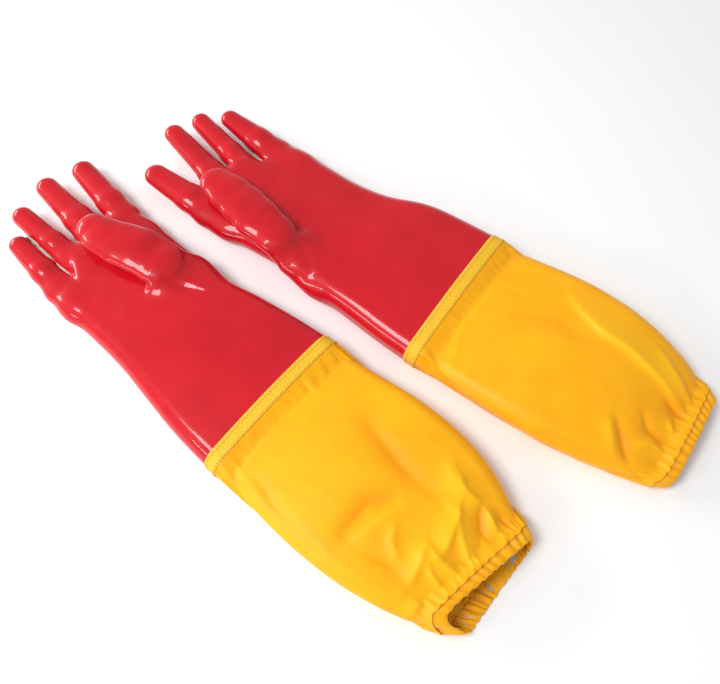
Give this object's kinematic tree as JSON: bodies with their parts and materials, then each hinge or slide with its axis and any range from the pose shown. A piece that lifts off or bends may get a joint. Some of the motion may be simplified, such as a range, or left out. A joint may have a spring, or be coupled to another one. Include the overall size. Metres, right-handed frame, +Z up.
{
  "type": "long gauntlet glove pair",
  "caption": "Long red dipped gauntlet gloves, left and right, lying palm up, each with a sewn-on yellow coated-fabric sleeve that is gathered by an elastic cuff.",
  "frame": {"origin": "on the bench, under the middle of the pair's bounding box", "axes": "+Y from the cuffs towards the fingers, +Z up from the bench, the right glove on the -X side and the left glove on the +X side"},
  "size_m": [0.3886, 0.709, 0.0503],
  "materials": {
    "red_pvc": "glossy dipped skin",
    "knitted_liner": "knitted cotton",
    "yellow_coated_fabric": "coated woven, semi-gloss",
    "pale_yellow_band": "ribbed sewn band",
    "elastic_tape": "woven elastic tape",
    "yellow_thread": "twisted sewing thread"
  },
  "bodies": {
    "right_hand": {"right_hand_skin": "red_pvc", "right_hand_liner": "knitted_liner", "right_join_band": "pale_yellow_band", "right_join_stitching": "yellow_thread"},
    "right_thumb": {"right_thumb_skin": "red_pvc", "right_thumb_liner": "knitted_liner"},
    "right_index": {"right_index_skin": "red_pvc", "right_index_liner": "knitted_liner"},
    "right_middle": {"right_middle_skin": "red_pvc", "right_middle_liner": "knitted_liner"},
    "right_ring": {"right_ring_skin": "red_pvc", "right_ring_liner": "knitted_liner"},
    "right_little": {"right_little_skin": "red_pvc", "right_little_liner": "knitted_liner"},
    "right_sleeve": {"right_sleeve": "yellow_coated_fabric", "right_side_seam_stitching": "yellow_thread", "right_hem_casing": "yellow_coated_fabric", "right_hem_elastic": "elastic_tape", "right_hem_stitching": "yellow_thread"},
    "left_hand": {"left_hand_skin": "red_pvc", "left_hand_liner": "knitted_liner", "left_join_band": "pale_yellow_band", "left_join_stitching": "yellow_thread"},
    "left_thumb": {"left_thumb_skin": "red_pvc", "left_thumb_liner": "knitted_liner"},
    "left_index": {"left_index_skin": "red_pvc", "left_index_liner": "knitted_liner"},
    "left_middle": {"left_middle_skin": "red_pvc", "left_middle_liner": "knitted_liner"},
    "left_ring": {"left_ring_skin": "red_pvc", "left_ring_liner": "knitted_liner"},
    "left_little": {"left_little_skin": "red_pvc", "left_little_liner": "knitted_liner"},
    "left_sleeve": {"left_sleeve": "yellow_coated_fabric", "left_side_seam_stitching": "yellow_thread", "left_hem_casing": "yellow_coated_fabric", "left_hem_elastic": "elastic_tape", "left_hem_stitching": "yellow_thread"}
  },
  "joints": [
    {"name": "left_glove_lift", "type": "slide", "parent": "right_hand", "child": "left_hand", "axis": [0, 0, 1], "range_m": [0, 0.2]},
    {"name": "right_thumb_bend", "type": "hinge", "parent": "right_hand", "child": "right_thumb", "pos_m": [-0.04829, 0.1693, 0.0506], "axis": [0.9614, 0.2751, 0], "range_deg": [0, 50]},
    {"name": "right_index_bend", "type": "hinge", "parent": "right_hand", "child": "right_index", "pos_m": [-0.02849, 0.27824, 0.0264], "axis": [0.9856, -0.1693, 0], "range_deg": [0, 60]},
    {"name": "right_middle_bend", "type": "hinge", "parent": "right_hand", "child": "right_middle", "pos_m": [-0.0662, 0.28986, 0.0264], "axis": [0.9919, -0.1273, 0], "range_deg": [0, 60]},
    {"name": "right_ring_bend", "type": "hinge", "parent": "right_hand", "child": "right_ring", "pos_m": [-0.10373, 0.28643, 0.0264], "axis": [0.9992, -0.0393, 0], "range_deg": [0, 60]},
    {"name": "right_little_bend", "type": "hinge", "parent": "right_hand", "child": "right_little", "pos_m": [-0.13353, 0.26751, 0.0264], "axis": [0.9937, -0.1124, 0], "range_deg": [0, 60]},
    {"name": "right_sleeve_fold", "type": "hinge", "parent": "right_hand", "child": "right_sleeve", "pos_m": [-0.09995, -0.02482, 0.0373], "axis": [-0.9992, 0.0393, 0], "range_deg": [0, 75]},
    {"name": "left_thumb_bend", "type": "hinge", "parent": "left_hand", "child": "left_thumb", "pos_m": [0.04245, 0.09307, 0.0506], "axis": [0.998, -0.0634, 0], "range_deg": [0, 50]},
    {"name": "left_index_bend", "type": "hinge", "parent": "left_hand", "child": "left_index", "pos_m": [0.02775, 0.21245, 0.0264], "axis": [0.9992, 0.0393, 0], "range_deg": [0, 60]},
    {"name": "left_middle_bend", "type": "hinge", "parent": "left_hand", "child": "left_middle", "pos_m": [0.06757, 0.21734, 0.0264], "axis": [0.9829, -0.1841, 0], "range_deg": [0, 60]},
    {"name": "left_ring_bend", "type": "hinge", "parent": "left_hand", "child": "left_ring", "pos_m": [0.10153, 0.21868, 0.0264], "axis": [0.983, -0.1837, 0], "range_deg": [0, 60]},
    {"name": "left_little_bend", "type": "hinge", "parent": "left_hand", "child": "left_little", "pos_m": [0.13498, 0.20658, 0.0264], "axis": [0.9995, -0.032, 0], "range_deg": [0, 60]},
    {"name": "left_sleeve_fold", "type": "hinge", "parent": "left_hand", "child": "left_sleeve", "pos_m": [0.09995, -0.09682, 0.0373], "axis": [-0.9992, -0.0393, 0], "range_deg": [0, 75]}
  ]
}
